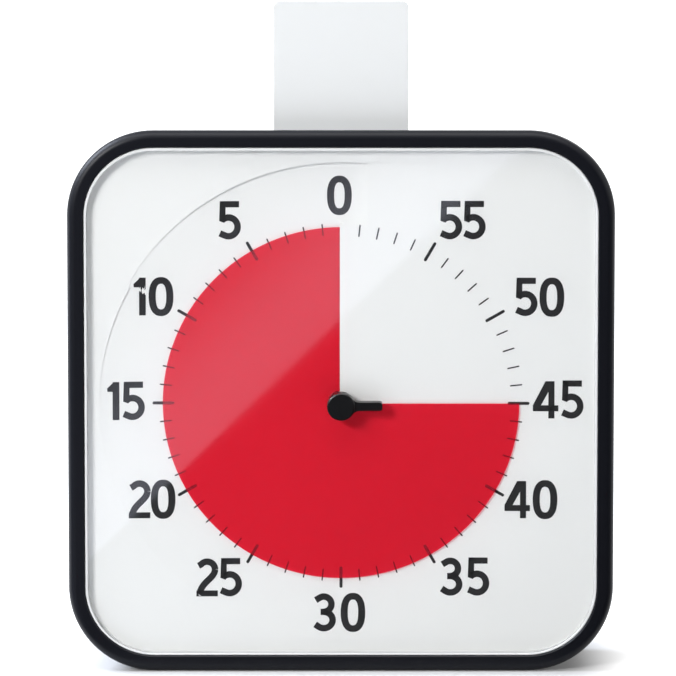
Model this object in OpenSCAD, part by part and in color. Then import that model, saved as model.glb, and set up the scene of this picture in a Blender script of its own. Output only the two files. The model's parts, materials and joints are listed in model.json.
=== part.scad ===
// Visual countdown timer: a red disc sinks through a slit in the dial as the minutes run out.
// The pieces are drawn lying on their back, dial up: X to the right, Y from the base to the top,
// Z towards the viewer. stand() turns them upright, with the origin on the base.

/* [Body] */
// Width of the body
body_w = 190; // [180:1:210]
// Height of the body
body_h = 191; // [182:0.5:210]
// Depth of the body, from the rim's face to the back
body_d = 40; // [39:0.5:50]
// How far the rim's face lies in front of the origin
front_z = 10; // [9.5:0.1:11]
// Corner radius of the body seen from the front
corner_r = 30; // [28:1:36]
// Width of the black rim seen from the front
rim_w = 5.8; // [5:0.1:7.5]
// Depth of the rim from front to back
rim_depth = 6; // [5.5:0.1:6.5]
// Thickness of the rim's front flange
rim_flange = 1.4; // [1.2:0.05:1.8]
// Thickness of the rim's outer wall
rim_wall = 2.2; // [1.6:0.1:2.3]
// Rounding of the rim's outer front edge
edge_r = 2.8; // [1:0.1:3.2]
// Angle by which the rim's outer side draws in towards the back
rim_draft = 11; // [4:1:13]
// Bevel of the rim's inner front edge
rim_bevel = 0.4; // [0.2:0.1:0.8]
// Wall of the rear cover
wall = 2.2; // [1.8:0.1:2.6]
// Step from the rim's side in to the rear cover's side
cover_step = 1; // [0.6:0.1:1.2]
// How far the rear cover's sides draw in towards the back
taper = 6; // [3:0.5:7]
// Rounding of the rear cover's back edge
back_r = 6; // [4:0.5:8]

/* [Lens and dial] */
// Thickness of the clear lens
lens_t = 1.2; // [1:0.05:1.4]
// Radius of the hole in the lens for the knob's shank
lens_hole_r = 4; // [4:0.1:4.4]
// Width of the white ring that frames the lens from the front
ring_w = 0.9; // [0.8:0.1:1.6]
// How far the white ring's face lies behind the rim's face
ring_back = 0.5; // [0.3:0.05:0.8]
// White ledge that shows between the rim and the dial
ledge_w = 1.1; // [0.6:0.1:2]
// Thickness of the white ledge that carries the lens
ledge_t = 1.05; // [0.9:0.05:1.1]
// How far the dial's centre lies below the body's centre
dial_drop = 0.9; // [0.3:0.1:1.2]
// How far the opening in the white ledge lies below the body's centre
ledge_drop = 0.2; // [0:0.1:0.5]
// Thickness of the flat part of the dial
dial_t = 1.2; // [1:0.1:1.3]
// Width of the flat border between the ramp's outer edge and the dial's nearest visible edge
step_margin = 3.9; // [3.6:0.1:6]
// Thickness of the ramp
ramp_t = 0.7; // [0.5:0.05:0.8]
// Distance of the slit's edge to the left of the dial's centre
slit_off = 0.4; // [0:0.1:1]
// Reach of the sunken field to the right of the slit, above the disc
field_w = 9.1; // [7:0.1:12]

/* [Time disc] */
// Radius of the red disc
disc_r = 62.2; // [58:0.1:62.5]
// Thickness of the red disc
disc_t = 0.3; // [0.2:0.05:0.4]
// Free gap above and below the disc where it passes the slit
disc_gap = 0.4; // [0.3:0.05:0.45]
// Angle of the disc's leading edge at rest, counter-clockwise from the top
rest_angle = 270; // [180:5:300]
// Angle that the disc spans; a little over a turn, so its end never leaves the slit
disc_angle = 364; // [361:1:366]
// Radius of the collar that carries the disc
hub_r = 3.2; // [2.8:0.1:3.4]

/* [Knob] */
// Radius of the knob's hub
knob_r = 5; // [4.6:0.1:6]
// Height of the knob's front face above the lens
knob_h = 4.6; // [3.6:0.1:6]
// Height of the pointer lever's face above the lens
lever_h = 3.8; // [3:0.1:3.9]
// Reach of the pointer lever from the knob's centre
lever_reach = 14.5; // [12:0.5:18]
// Width of the pointer lever
lever_w = 3; // [2.4:0.1:4]
// Fillet between lever and hub
lever_fillet = 3.2; // [1:0.1:3.5]
// Chamfer round the knob's front
knob_chamfer = 0.6; // [0.3:0.1:0.8]
// Radius of the spindle
spindle_r = 1.5; // [1.3:0.1:1.7]
// Distance of the spindle's flat from its axis
spindle_flat = 1; // [0.8:0.05:1.2]
// Outer radius of the spindle bush
bush_r = 3; // [2.6:0.1:3.2]
// Running clearance of shafts in their bores, on the radius
run_gap = 0.05; // [0.02:0.01:0.08]

/* [Movement] */
// Side of the square movement case
case_w = 58; // [56:1:64]
// Depth of the movement case
case_d = 18.6; // [18.4:0.1:20]
// Wall of the movement case
case_wall = 1.5; // [1.2:0.1:1.8]
// Gear module
gear_m = 0.6; // [0.55:0.01:0.62]
// Teeth of the wheels
wheel_teeth = 40; // [40:4:44]
// Teeth of the pinions
pinion_teeth = 10; // [10:1:11]
// Thickness of the wheels
gear_t = 2; // [1.6:0.1:2.2]
// Radius of the small arbors
arbor_r = 0.8; // [0.6:0.1:1]
// Share of the pitch that a tooth takes up
tooth_share = 0.42; // [0.38:0.01:0.44]

/* [Battery and board] */
// Radius of the battery
cell_r = 7.1; // [6.9:0.1:7.25]
// Length of the battery's can
cell_l = 49; // [48:0.5:49.5]
// Clearance around the battery
cell_gap = 0.6; // [0.4:0.1:0.8]
// Height of the battery's axis above the base
cell_y = 32; // [30:0.5:40]
// Width of the circuit board
board_w = 44; // [40:1:46]
// Height of the circuit board
board_h = 74; // [72:1:80]
// Thickness of the circuit board
board_t = 1.6; // [1.2:0.1:2]
// Distance of the board from the body's side
board_side = 15; // [14:0.5:16]
// Distance of the board behind the chassis
board_gap = 12; // [8:0.5:13]
// Radius of the buzzer
buzzer_r = 7; // [6:0.5:9]
// Radius of the volume wheel
volume_r = 7.5; // [7:0.1:7.6]
// Thickness of the volume wheel
volume_t = 4; // [3:0.1:4.4]
// Height of the volume wheel's axis above the base
volume_y = 78; // [74:1:84]
// Distance of the volume wheel from the board's outer edge
volume_in = 25; // [22:1:28]

/* [Back and base] */
// Radius of the hang hole
hang_r = 4.5; // [4:0.1:5]
// Width of the hang hole's slot
hang_slot = 4.4; // [3.8:0.1:4.6]
// Height of the hang hole above the base
hang_y = 142; // [136:1:146]
// Radius of the magnets
magnet_r = 8; // [6:0.5:9]
// Thickness of the magnets
magnet_t = 3; // [2:0.5:3]
// Distance of each magnet from the middle, along X and Y
magnet_off = 56; // [52:1:58]
// Distance of each case screw from the middle, along X and Y
screw_off = 73; // [71:0.5:74]
// Length of a foot from its pivot to its tip
foot_reach = 36; // [30:1:40]
// Width of a foot
foot_w = 12; // [10:0.5:13]
// Thickness of a foot
foot_t = 4; // [3:0.1:4.2]
// Distance of a foot's pivot from the middle
foot_x = 50; // [46:1:52]
// Half width of the bay that the feet fold into
bay_x = 60; // [58:1:62]

/* [Card] */
// Width of the activity card
card_w = 46.7; // [40:0.5:60]
// Height of the activity card
card_h = 75; // [60:0.5:90]
// Thickness of the activity card
card_t = 0.9; // [0.5:0.1:1]
// Corner radius of the activity card
card_r = 2.4; // [1:0.2:6]
// How deep the card stands in its pocket, below the body's top
card_depth = 31.2; // [24:0.2:34]

/* [Hidden] */
$fn = 96;

eps = 0.01;              // overlap that joins two shapes of one solid
seam = 0.1;              // gap between flat faces of stacked pieces
fit_gap = 0.3;           // gap around a piece that drops into another
mid_y = body_h / 2;      // height of the body's centre
dial_y = mid_y - dial_drop;

// Levels along Z, from the front to the back
back_z = front_z - body_d;
rim_back = front_z - rim_depth;
lens_top = front_z - rim_flange - seam;
lens_bottom = lens_top - lens_t;
ledge_top = lens_bottom - seam;
ledge_bottom = ledge_top - ledge_t;
dial_z = ledge_bottom - 0.05;
cover_top = rim_back - fit_gap;
ramp_pitch = ramp_t + disc_t + 2 * disc_gap;
chassis_top = dial_z - 2 * ramp_pitch - 0.5;
chassis_t = 2;
chassis_back = chassis_top - chassis_t;
knob_back = lens_top + 0.3;
knob_front = lens_top + knob_h;
lever_front = lens_top + lever_h;

// Insets from the body's outline
frame_in = rim_wall + 0.2;           // lens and front frame inside the rim's wall
dial_in = rim_w + ledge_w;           // edge of the dial that shows
step_r = min(body_w / 2, body_h / 2 - dial_drop + ledge_drop) - dial_in - step_margin; // ramp's rim
plate_in = frame_in + 1.9;           // edge of the dial plate and the chassis

// ---------------------------------------------------------------- shared shapes

// Turns a lying piece upright: Z becomes the side towards the viewer, -Y
module stand() { rotate([90, 0, 0]) children(); }

// Outline of the body, drawn in by `inset`, with `drop` below the body's centre
module outline(inset, drop = 0) {
    w = body_w - 2 * inset;
    h = body_h - 2 * inset;
    r = corner_r - inset;
    translate([0, mid_y - drop]) {
        square([w - 2 * r, h], center = true);
        square([w, h - 2 * r], center = true);
        for (x = [-1, 1], y = [-1, 1]) translate([x * (w / 2 - r), y * (h / 2 - r)]) circle(r);
    }
}

// Plate of the body's outline between two levels
module plate(inset, top, bottom, drop = 0) {
    translate([0, 0, bottom]) linear_extrude(top - bottom) outline(inset, drop);
}

// Sweeps a profile round the body's outline. Its x is the distance inwards, its y is Z.
module sweep_round(drop = 0) {
    cx = body_w / 2 - corner_r;
    cy = body_h / 2 - corner_r;
    translate([0, mid_y - drop, 0]) {
        for (i = [0 : 3])
            translate([(i == 0 || i == 3 ? 1 : -1) * cx, (i < 2 ? 1 : -1) * cy, 0])
                rotate([0, 0, 90 * i]) rotate_extrude(angle = 90)
                    translate([corner_r, 0]) mirror([1, 0]) children();
        for (i = [0 : 3]) {
            run = 2 * (i % 2 == 0 ? cy : cx);
            half = i % 2 == 0 ? body_w / 2 : body_h / 2;
            rotate([0, 0, 90 * i]) translate([half, run / 2, 0]) rotate([90, 0, 0])
                linear_extrude(run) mirror([1, 0]) children();
        }
    }
}

module tube(outer, inner, top, bottom) {
    translate([0, 0, bottom]) difference() {
        cylinder(r = outer, h = top - bottom);
        translate([0, 0, -1]) cylinder(r = inner, h = top - bottom + 2);
    }
}

module rod(r, top, bottom) { translate([0, 0, bottom]) cylinder(r = r, h = top - bottom); }

// A box from its lowest to its highest corner
module span(low, high) { translate(low) cube(high - low); }

// Round shaft section with one flat, grown by a clearance
module d_section(gap = 0) {
    intersection() {
        circle(spindle_r + gap);
        translate([-2 * spindle_r, -2 * spindle_r])
            square([2 * spindle_r + spindle_flat + gap, 4 * spindle_r]);
    }
}

// ---------------------------------------------------------------- rim, lens and front frame

module rim_profile() {
    low = front_z - edge_r;
    difference() {
        union() {
            polygon([[(low - rim_back) * tan(rim_draft), rim_back], [rim_w, rim_back], [rim_w, front_z],
                [edge_r, front_z], [edge_r, low], [0, low]]);
            translate([0, low]) intersection() {
                square(edge_r);
                translate([edge_r, 0]) circle(edge_r);
            }
        }
        // room behind the flange for the lens, the front frame and the cover's front edge
        translate([rim_wall, rim_back - 1]) square([rim_w, rim_depth - rim_flange + 1]);
        translate([rim_w, front_z]) rotate(45) square(rim_bevel * sqrt(2), center = true);
    }
}

module rim() { color("#1f2024") stand() sweep_round() rim_profile(); }

module lens_ring() {
    color("white") stand() difference() {
        plate(rim_w + seam, front_z - ring_back, lens_top + seam);
        plate(rim_w + ring_w, front_z, lens_top, ledge_drop);
    }
}

module lens() {
    color([0.9, 0.93, 0.95, 0.25]) stand() difference() {
        plate(frame_in, lens_top, lens_bottom);
        translate([0, dial_y, 0]) rod(lens_hole_r, lens_top + 1, lens_bottom - 1);
    }
}

module front_frame() {
    color("white") stand() difference() {
        plate(frame_in, ledge_top, rim_back + 0.2);
        plate(dial_in, ledge_top + 1, ledge_bottom - 1, ledge_drop);
        plate(frame_in + 1.6, ledge_bottom, rim_back - 1);
    }
}

// ---------------------------------------------------------------- dial and time disc

ramp_steps = 72;                     // facets of one turn of the ramp
dial_hole_r = hub_r + 1;             // hole for the collar
ramp_r = disc_r + 1.6;               // the ramp is a true screw surface out to here
sink = 90;                           // the step at step_r fades out over this angle

// Depth of the dial's face below its flat part, at angle a counter-clockwise from the top
function screw_depth(a) = ramp_pitch * (1 - a / 360);
function step_depth(a) = ramp_pitch * max(0, 1 - a / sink);
function polar(r, a, z) = [-r * sin(a), r * cos(a), z];

// A closed shell between an upper and a lower sheet, both given as rows of points
module sheet(upper, lower) {
    rows = len(upper);
    n = len(upper[0]);
    points = [for (row = upper) each row, for (row = lower) each row];
    base = rows * n;
    top_faces = [for (i = [0 : rows - 2], j = [0 : n - 2])
        [i * n + j, i * n + j + 1, (i + 1) * n + j + 1, (i + 1) * n + j]];
    low_faces = [for (i = [0 : rows - 2], j = [0 : n - 2])
        [base + i * n + j, base + (i + 1) * n + j, base + (i + 1) * n + j + 1, base + i * n + j + 1]];
    side_faces = [for (i = [0 : rows - 2]) each [
        [i * n, (i + 1) * n, base + (i + 1) * n, base + i * n],
        [i * n + n - 1, base + i * n + n - 1, base + (i + 1) * n + n - 1, (i + 1) * n + n - 1]]];
    end_faces = [for (j = [0 : n - 2]) each [
        [j, base + j, base + j + 1, j + 1],
        [base - n + j, base - n + j + 1, 2 * base - n + j + 1, 2 * base - n + j]]];
    quads = concat(top_faces, low_faces, side_faces, end_faces);
    triangles = [for (q = quads) each [[q[0], q[2], q[1]], [q[0], q[3], q[2]]]];
    polyhedron(points, triangles);
}

// The ramp: from the sunken side of the slit, up round the dial to its level side
module ramp() {
    outer = step_r + 0.6;
    function row(a, down) = [
        polar(dial_hole_r, a, dial_z - screw_depth(a) - down),
        polar(ramp_r, a, dial_z - screw_depth(a) - down),
        polar(outer, a, dial_z - step_depth(a) - down - eps)];
    angles = [for (i = [0 : ramp_steps]) i * 360 / ramp_steps];
    sheet([for (a = angles) row(a, 0)], [for (a = angles) row(a, ramp_t)]);
}

// The sunken field's part to the right of the slit: a floor, its side wall and the disc's wall
module field() {
    low = dial_z - ramp_pitch - ramp_t;
    left = slit_off + 0.1;
    wall_t = 0.8;
    translate([0, 0, low]) linear_extrude(ramp_t) difference() {
        intersection() {
            circle(step_r + 0.5);
            translate([-left, ramp_r - 0.9]) square([field_w + left + wall_t, step_r]);
        }
        circle(ramp_r - 1);
    }
    translate([0, 0, low]) linear_extrude(dial_z - low) intersection() {
        circle(step_r + 0.5);
        translate([field_w, ramp_r - 0.9]) square([wall_t, step_r]);
    }
    translate([0, 0, low]) linear_extrude(ramp_pitch + ramp_t - 0.05) intersection() {
        difference() {
            circle(ramp_r);
            circle(ramp_r - wall_t);
        }
        translate([-slit_off, 0]) square([field_w + wall_t + slit_off, step_r]);
    }
}

// Right of the slit, the ramp is cut away over the sunken field
module field_cut() {
    translate([0, 0, dial_z - 2 * ramp_pitch]) linear_extrude(3 * ramp_pitch) difference() {
        translate([-slit_off, 0]) square([field_w + slit_off, step_r + 0.5]);
        circle(ramp_r);
    }
}

module dial_plate() {
    color("white") stand() {
        difference() {
            plate(plate_in, dial_z, dial_z - dial_t);
            translate([0, dial_y, 0]) rod(step_r, dial_z + 1, dial_z - dial_t - 1);
        }
        translate([0, dial_y, 0]) {
            tube(step_r + 1.2, step_r, dial_z - eps, dial_z - ramp_pitch - ramp_t);
            difference() {
                translate([-slit_off, 0, 0]) ramp();
                field_cut();
            }
            field();
        }
    }
}

// The disc is a screw surface of the ramp's own pitch, so that turning moves it along the ramp
module time_disc() {
    function row(a, down) = [for (r = [hub_r - 0.2, disc_r])
        polar(r, a, dial_z - screw_depth(a) + disc_gap + disc_t - down)];
    steps = ramp_steps;
    angles = [for (i = [0 : steps]) rest_angle - disc_angle + i * disc_angle / steps];
    color([0.81, 0.12, 0.19]) stand() translate([0, dial_y, 0])
        difference() {
            sheet([for (a = angles) row(a, 0)], [for (a = angles) row(a, disc_t)]);
            rod(hub_r, dial_z + 5, dial_z - 9);
        }
}

disc_high = dial_z - screw_depth(rest_angle) + disc_gap + disc_t;
disc_low = dial_z - screw_depth(rest_angle - disc_angle) + disc_gap;
climb_up = ramp_pitch * (360 - rest_angle) / 360;
climb_down = ramp_pitch * rest_angle / 360;

module disc_hub() {
    color("#8e1420") stand() translate([0, dial_y, 0]) difference() {
        rod(hub_r - 0.02, disc_high + 0.15, disc_low - 0.1);
        translate([0, 0, disc_low - 1]) linear_extrude(disc_high - disc_low + 3) d_section(run_gap);
    }
}

// ---------------------------------------------------------------- knob, spindle and bush

// Lever outline, pointing along X, with round fillets into the hub
module lever_outline(inset = 0) {
    half = lever_w / 2 - inset;
    tip_r = half * 0.6;
    translate([0, -half]) square([lever_reach - inset - tip_r, 2 * half]);
    translate([lever_reach - inset - 2 * tip_r, -half + tip_r]) square([2 * tip_r, 2 * (half - tip_r)]);
    for (s = [-1, 1])
        translate([lever_reach - inset - tip_r, s * (half - tip_r)]) circle(tip_r, $fn = 48);
}

module lever_fillets() {
    fy = lever_w / 2 + lever_fillet;
    fx = sqrt(pow(knob_r + lever_fillet, 2) - fy * fy);
    for (s = [-1, 1]) scale([1, s]) difference() {
        polygon([[0, 0], [fx * knob_r / (knob_r + lever_fillet), fy * knob_r / (knob_r + lever_fillet)],
            [fx, fy], [fx, 0]]);
        translate([fx, fy]) circle(lever_fillet, $fn = 48);
    }
}

module knob() {
    shank_r = lens_hole_r - 0.5;
    shank_back = disc_high + climb_up + fit_gap;
    shoulder = lever_front - knob_chamfer;
    color("#18191b") stand() translate([0, dial_y, 0]) difference() {
        union() {
            rod(knob_r, knob_front - knob_chamfer, shoulder - eps);
            translate([0, 0, knob_front - knob_chamfer])
                cylinder(r1 = knob_r, r2 = knob_r - knob_chamfer, h = knob_chamfer);
            rod(shank_r, knob_back + eps, shank_back);
            translate([0, 0, knob_back]) linear_extrude(shoulder - knob_back) {
                circle(knob_r);
                lever_outline();
                lever_fillets();
            }
            hull() {
                translate([0, 0, shoulder - eps]) linear_extrude(eps) lever_outline();
                translate([0, 0, lever_front - eps]) linear_extrude(eps) lever_outline(knob_chamfer);
            }
        }
        translate([0, 0, shank_back - 1]) linear_extrude(knob_front - 1.5 - shank_back + 1)
            d_section(0.02);
    }
}

case_top = chassis_back - seam;
case_bottom = case_top - case_d;
bore_r = spindle_r + run_gap;

module spindle() {
    top = knob_front - 1.6;
    round_top = chassis_top + 0.2;
    color("#b9bcc0") stand() translate([0, dial_y, 0]) {
        rod(spindle_r, round_top, case_bottom + 0.5);
        translate([0, 0, round_top - eps]) linear_extrude(top - round_top + eps) d_section();
    }
}

module spindle_bush() {
    color("#c9a14a") stand() translate([0, dial_y, 0])
        tube(bush_r, bore_r, chassis_top + 0.2, case_top - case_wall - 0.6);
}

// ---------------------------------------------------------------- chassis

post_r = 4.5;
post_l = 5;
post_back = chassis_back - post_l;
board_front = chassis_back - board_gap;
board_back = board_front - board_t;
board_low = [board_side - body_w / 2, volume_y - 20];
board_high = board_low + [board_w, board_h];
board_post_r = 2.6;
board_hole = 6;                      // distance of the board's screw holes from its ends
board_posts = [for (x = [board_low[0] + board_hole, board_high[0] - board_hole + 2],
    y = [board_low[1] + board_hole, board_high[1] - board_hole]) [x, y]];
screw_points = [for (x = [-1, 1], y = [-1, 1]) [x * screw_off, mid_y + y * screw_off]];
ear_r = 4;
ear_t = 2;
ear_points = [for (s = [-1, 1]) [s * (case_w / 2 + ear_r), dial_y + s * case_w / 4]];

collar_r = bush_r + case_wall;        // collar of the movement case round the bush
screw_r = 1.25;
ear_screw_r = 0.95;

module chassis() {
    color("#3a3b3e") stand() difference() {
        union() {
            plate(plate_in, chassis_top, chassis_back);
            difference() {
                plate(plate_in, dial_z - dial_t - seam, chassis_back);
                plate(plate_in + chassis_t, dial_z, chassis_back - 1);
            }
            for (p = screw_points) translate(p) rod(post_r, chassis_back + eps, post_back);
            for (p = board_posts) translate(p) rod(board_post_r, chassis_back + eps, board_front + seam);
        }
        translate([0, dial_y, 0]) rod(collar_r + seam, chassis_top + 1, chassis_back - 1);
        for (p = screw_points) translate(p) rod(screw_r + run_gap, chassis_back - 1, post_back - 1);
        for (p = ear_points) translate(p) rod(ear_screw_r + run_gap, chassis_top - 0.8, chassis_back - 1);
    }
}

// ---------------------------------------------------------------- movement

gear_gap = gear_m * (wheel_teeth + pinion_teeth) / 2;
inter_dir = 30;
rotor_dir = 120;
inter_at = gear_gap * [cos(inter_dir), sin(inter_dir)];
rotor_at = inter_at + gear_gap * [cos(rotor_dir), sin(rotor_dir)];
wheel1_top = case_top - case_wall - 1.9;
wheel2_top = wheel1_top - gear_t - 2.2;
magnet_top = wheel2_top - gear_t - 1.2;
rotor_magnet_r = 4;
rotor_magnet_t = 3;

// Involute flank: radius and angle, in degrees, of a point at roll angle u
function inv_angle(u) = (u - atan(u * PI / 180)) ;
function flank_u(r, base) = sqrt(max(0, pow(r / base, 2) - 1)) * 180 / PI;
function flank_at(r, base) = inv_angle(flank_u(r, base));

// Spur gear outline with a tooth centred on X
module gear_outline(teeth) {
    pitch_r = gear_m * teeth / 2;
    base_r = pitch_r * cos(20);
    tip_r = pitch_r + 0.95 * gear_m;
    root_r = pitch_r - 1.2 * gear_m;
    half = 180 * tooth_share / teeth + flank_at(pitch_r, base_r);
    start_r = max(base_r, root_r + 0.15 * gear_m);
    radii = [for (i = [0 : 3]) start_r + (tip_r - start_r) * i / 3];
    polygon([for (k = [0 : teeth - 1]) let (c = 360 * k / teeth) each concat(
        [[root_r * cos(c - half), root_r * sin(c - half)]],
        [for (r = radii) let (a = c - half + flank_at(r, base_r)) [r * cos(a), r * sin(a)]],
        [for (i = [3 : -1 : 0]) let (r = radii[i], a = c + half - flank_at(r, base_r))
            [r * cos(a), r * sin(a)]],
        [[root_r * cos(c + half), root_r * sin(c + half)]])]);
}

// Turn that puts a gap of the second gear against a tooth of the first
function mesh_turn(teeth_a, turn_a, teeth_b, dir) =
    let (phase = (dir - turn_a) * teeth_a / 360)
    dir + 180 + (phase - floor(phase) + 0.5) * 360 / teeth_b;

inter_turn = mesh_turn(wheel_teeth, 0, pinion_teeth, inter_dir);
rotor_turn = mesh_turn(wheel_teeth, inter_turn, pinion_teeth, rotor_dir);

module spindle_gear() {
    color("#e8e4da") stand() translate([0, dial_y, 0]) difference() {
        union() {
            translate([0, 0, wheel1_top - gear_t]) linear_extrude(gear_t) gear_outline(wheel_teeth);
            rod(3.2, wheel1_top + 0.9, wheel1_top - gear_t - 1);
        }
        rod(spindle_r + 0.02, wheel1_top + 2, wheel1_top - gear_t - 2);
    }
}

module intermediate_gear() {
    color("#e8e4da") stand() translate([inter_at[0], dial_y + inter_at[1], 0]) {
        rotate(inter_turn) {
            translate([0, 0, wheel2_top - gear_t]) linear_extrude(gear_t) gear_outline(wheel_teeth);
            translate([0, 0, wheel2_top - eps]) linear_extrude(wheel1_top + 0.2 - wheel2_top)
                gear_outline(pinion_teeth);
        }
        rod(arbor_r, case_top - 0.4, case_bottom + 0.4);
    }
}

module rotor() {
    color("#55585c") stand() translate([rotor_at[0], dial_y + rotor_at[1], 0]) {
        translate([0, 0, wheel2_top - gear_t - 0.2]) linear_extrude(gear_t + 0.4)
            rotate(rotor_turn) gear_outline(pinion_teeth);
        rod(rotor_magnet_r, magnet_top, magnet_top - rotor_magnet_t);
        rod(arbor_r, case_top - 0.4, case_bottom + 0.4);
    }
}

stator_z = magnet_top - rotor_magnet_t / 2;
stator_t = 1.2;
coil_x = -12;
coil_l = 16;
coil_r = 3.4;
core_w = 3.2;

module stator() {
    arm_y = rotor_at[1];
    color("#9a9ca0") stand() translate([0, dial_y, stator_z - stator_t / 2])
        linear_extrude(stator_t) difference() {
            union() {
                translate(rotor_at) circle(rotor_magnet_r + 2.6);
                translate([coil_x - coil_l / 2 - 3, arm_y - core_w / 2])
                    square([rotor_at[0] - coil_x + coil_l / 2 - 1, core_w]);
            }
            translate(rotor_at) circle(rotor_magnet_r + 0.5);
        }
}

module coil() {
    arm_y = rotor_at[1];
    color("#b5652a") stand() translate([coil_x, dial_y + arm_y, stator_z]) rotate([0, 90, 0])
        difference() {
            union() {
                translate([0, 0, -coil_l / 2]) cylinder(r = coil_r, h = coil_l);
                for (s = [-1, 1]) translate([0, 0, s * (coil_l / 2 - 0.5) - 0.5])
                    cylinder(r = coil_r + 1, h = 1);
            }
            cube([stator_t + 0.2, core_w + 0.2, coil_l + 2], center = true);
        }
}

module case_outline(inset) {
    r = 5 - min(inset, 4);
    w = case_w - 2 * inset;
    square([w - 2 * r, w], center = true);
    square([w, w - 2 * r], center = true);
    for (x = [-1, 1], y = [-1, 1]) translate([x * (w / 2 - r), y * (w / 2 - r)]) circle(r);
}

case_split = case_top - case_d * 0.55;

module movement_front() {
    color("#2c2d30") stand() translate([0, dial_y, 0]) difference() {
        union() {
            translate([0, 0, case_split]) linear_extrude(case_top - case_split) case_outline(0);
            rod(collar_r, chassis_top, case_top - eps);
            for (p = ear_points) translate([p[0], p[1] - dial_y, case_top - ear_t])
                linear_extrude(ear_t) {
                    circle(ear_r);
                    translate([p[0] > 0 ? -1.5 * ear_r : 0, -ear_r]) square([1.5 * ear_r, 2 * ear_r]);
                }
        }
        translate([0, 0, case_split - 1]) linear_extrude(case_top - case_wall - case_split + 1)
            case_outline(case_wall);
        rod(bush_r + 0.02, chassis_top + 1, case_top - case_wall - 1);
        for (p = [inter_at, rotor_at]) translate(p)
            rod(arbor_r + run_gap, case_top + 1, case_top - case_wall - 1);
        for (p = ear_points) translate([p[0], p[1] - dial_y, 0])
            rod(ear_screw_r + 0.5, case_top + 1, case_top - ear_t - 1);
    }
}

module movement_rear() {
    color("#2c2d30") stand() translate([0, dial_y, 0]) difference() {
        union() {
            translate([0, 0, case_bottom]) linear_extrude(case_split - seam - case_bottom) case_outline(0);
            rod(4, case_bottom + eps, case_bottom - 1);
        }
        translate([0, 0, case_bottom + case_wall]) linear_extrude(case_d) case_outline(case_wall);
        rod(bore_r, case_bottom + 3, case_bottom - 0.2);
        for (p = [inter_at, rotor_at]) translate(p) rod(arbor_r + run_gap, case_bottom + 3, case_bottom - 2);
    }
}

module movement_screws() {
    color("#c4c6ca") stand() for (p = ear_points) translate(p) {
        rod(ear_screw_r, chassis_back + 0.9, case_top - ear_t - 0.05);
        rod(2.4, case_top - ear_t - 0.05, case_top - ear_t - 1.6);
    }
}

// ---------------------------------------------------------------- board and battery

buzzer_at = [board_low[0] + 20, board_high[1] - 19];
buzzer_h = 6;
volume_x = -board_low[0] - volume_in; // the wheel's distance to the left of the middle
volume_z = back_z + 0.4 + volume_r;
pot_w = 10;
pot_t = 3.6;
wheel_side = 0.4;
chip_w = 12;
chip_t = 1.6;
chip_x = 8;                          // the chip's corner from the board's lower left corner
chip_y = 26;
cap_r = 3.2;                         // the capacitor, measured from the board's lower right corner
cap_h = 7;
cap_x = 10;
cap_y = 34;
axle_r = 2;                           // the volume wheel's axle

module circuit_board() {
    color("#2f6b3c") stand() {
        difference() {
            span([board_low[0], board_low[1], board_back], [board_high[0], board_high[1], board_front]);
            for (p = board_posts) translate(p) rod(board_post_r - 1.5, board_front + 1, board_back - 1);
        }
        // control chip and capacitor
        translate([board_low[0] + chip_x, board_low[1] + chip_y, board_back - chip_t])
            cube([chip_w, chip_w, chip_t + eps]);
        translate([board_high[0] - cap_x, board_low[1] + cap_y, 0])
            rod(cap_r, board_back + eps, board_back - cap_h);
    }
}

module buzzer() {
    color("#1b1b1d") stand() translate(buzzer_at)
        difference() {
            rod(buzzer_r, board_back - 0.05, board_back - buzzer_h);
            rod(1.2, board_back - buzzer_h + 1.5, board_back - buzzer_h - 1); // its sound hole
        }
}

module volume_pot() {
    side = -volume_x + volume_t / 2 + wheel_side;
    color("#3c5a8c") stand() {
        span([side, volume_y - pot_w / 2, volume_z - pot_w / 2 + 1],
             [side + pot_t, volume_y + pot_w / 2, board_back - 0.05]);
        translate([side + eps, volume_y, volume_z]) rotate([0, -90, 0])
            cylinder(r = axle_r, h = volume_t + wheel_side + 0.6);
    }
}

module volume_wheel() {
    ribs = 24;
    color("#202124") stand() translate([-volume_x, volume_y, volume_z]) rotate([0, 90, 0])
        translate([0, 0, -volume_t / 2]) difference() {
            cylinder(r = volume_r, h = volume_t);
            for (i = [0 : ribs - 1]) rotate(360 * (i + 0.5) / ribs)
                translate([volume_r + 0.25, 0, -1]) cylinder(r = 0.6, h = volume_t + 2, $fn = 16);
            translate([0, 0, -1]) cylinder(r = axle_r + run_gap, h = volume_t + 2);
        }
}

cell_z = back_z + 2.6 + cell_r + 0.4;
cradle_x = 31;
cradle_half = cell_r + cell_gap;
cradle_wall = 1.5;
cell_nub = 1.3;

module battery() {
    color("#b8732f") stand() translate([-cell_l / 2, cell_y, cell_z]) rotate([0, 90, 0]) {
        cylinder(r = cell_r, h = cell_l);
        translate([0, 0, cell_l - eps]) cylinder(r = 2.75, h = cell_nub);
    }
}

spring_turns = 4;
contact_w = 12;                       // side of the plates that carry spring and contact
contact_t = 0.5;
spring_x = cradle_x - cell_l / 2 - 0.3;

// Conical contact spring, drawn as stacked rings on a plate
module battery_spring() {
    pitch = (spring_x - 1) / spring_turns;
    color("#c8cace") stand() translate([-cradle_x + 0.05, cell_y, cell_z]) rotate([0, 90, 0]) {
        translate([-contact_w / 2, -contact_w / 2, 0]) cube([contact_w, contact_w, contact_t]);
        for (i = [0 : spring_turns - 1]) translate([0, 0, contact_t + i * pitch])
            tube(4.8 - i * 0.6, 3.2 - i * 0.6, pitch + eps, 0);
    }
}

module battery_contact() {
    reach = cradle_x - cell_l / 2 - cell_nub - 0.1;
    color("#c8cace") stand() translate([cradle_x - 0.05, cell_y, cell_z]) rotate([0, -90, 0]) {
        translate([-contact_w / 2, -contact_w / 2, 0]) cube([contact_w, contact_w, contact_t]);
        cylinder(r = 3, h = reach);
    }
}

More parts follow.
